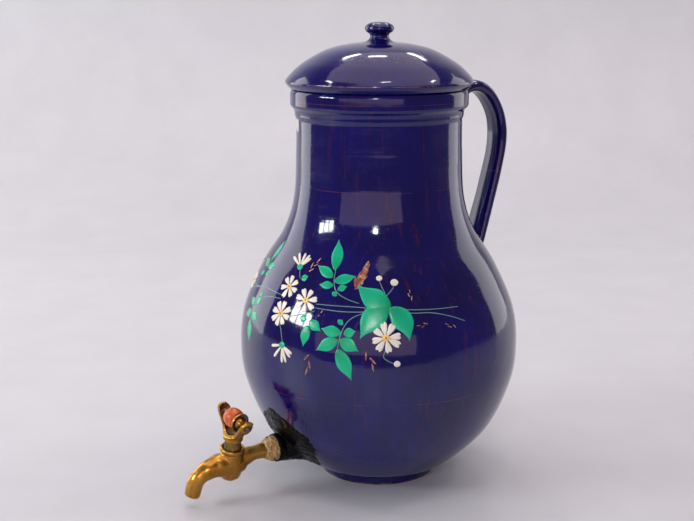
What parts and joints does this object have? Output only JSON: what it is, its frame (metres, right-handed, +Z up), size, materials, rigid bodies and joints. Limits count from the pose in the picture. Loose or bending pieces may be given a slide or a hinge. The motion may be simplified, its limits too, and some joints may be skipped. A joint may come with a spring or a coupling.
{
  "type": "water jug with tap",
  "caption": "Large lidded earthenware water jug, cobalt glazed and painted with flowers, with a strap handle at the back and a brass plug tap let into the foot of the belly.",
  "frame": {"origin": "centre of the flat unglazed underside of the foot, where the jug stands", "axes": "+Z up along the axis of the pot, -Y toward the tap, +Y toward the strap handle, +X to the right seen from the tap's side"},
  "size_m": [0.3084, 0.4116, 0.5],
  "materials": {
    "cobalt_glaze": "glossy glaze",
    "black_pitch": "lumpy, half glossy",
    "hemp_twine": "matte, stained",
    "aged_brass": "worn satin",
    "steel": "dull",
    "coral_paint": "painted, satin"
  },
  "bodies": {
    "jug": {"jug_body": "cobalt_glaze", "strap_handle": "cobalt_glaze", "pitch_seal": "black_pitch", "hemp_packing": "hemp_twine", "tap_body": "aged_brass"},
    "lid": {"lid": "cobalt_glaze", "lid_knob": "cobalt_glaze"},
    "key": {"tap_plug": "aged_brass", "plug_washer": "aged_brass", "plug_screw": "steel", "key_yoke": "aged_brass", "cross_spindle": "aged_brass", "grip_bead": "coral_paint", "bead_washer": "aged_brass", "spool_ferrule": "aged_brass"}
  },
  "joints": [
    {"name": "lid_lift", "type": "slide", "parent": "jug", "child": "lid", "axis": [0, 0, 1], "range_m": [0, 0.12]},
    {"name": "tap_turn", "type": "hinge", "parent": "jug", "child": "key", "pos_m": [0, -0.189, 0.0477], "axis": [0.225, 0, 0.9744], "continuous": true}
  ]
}
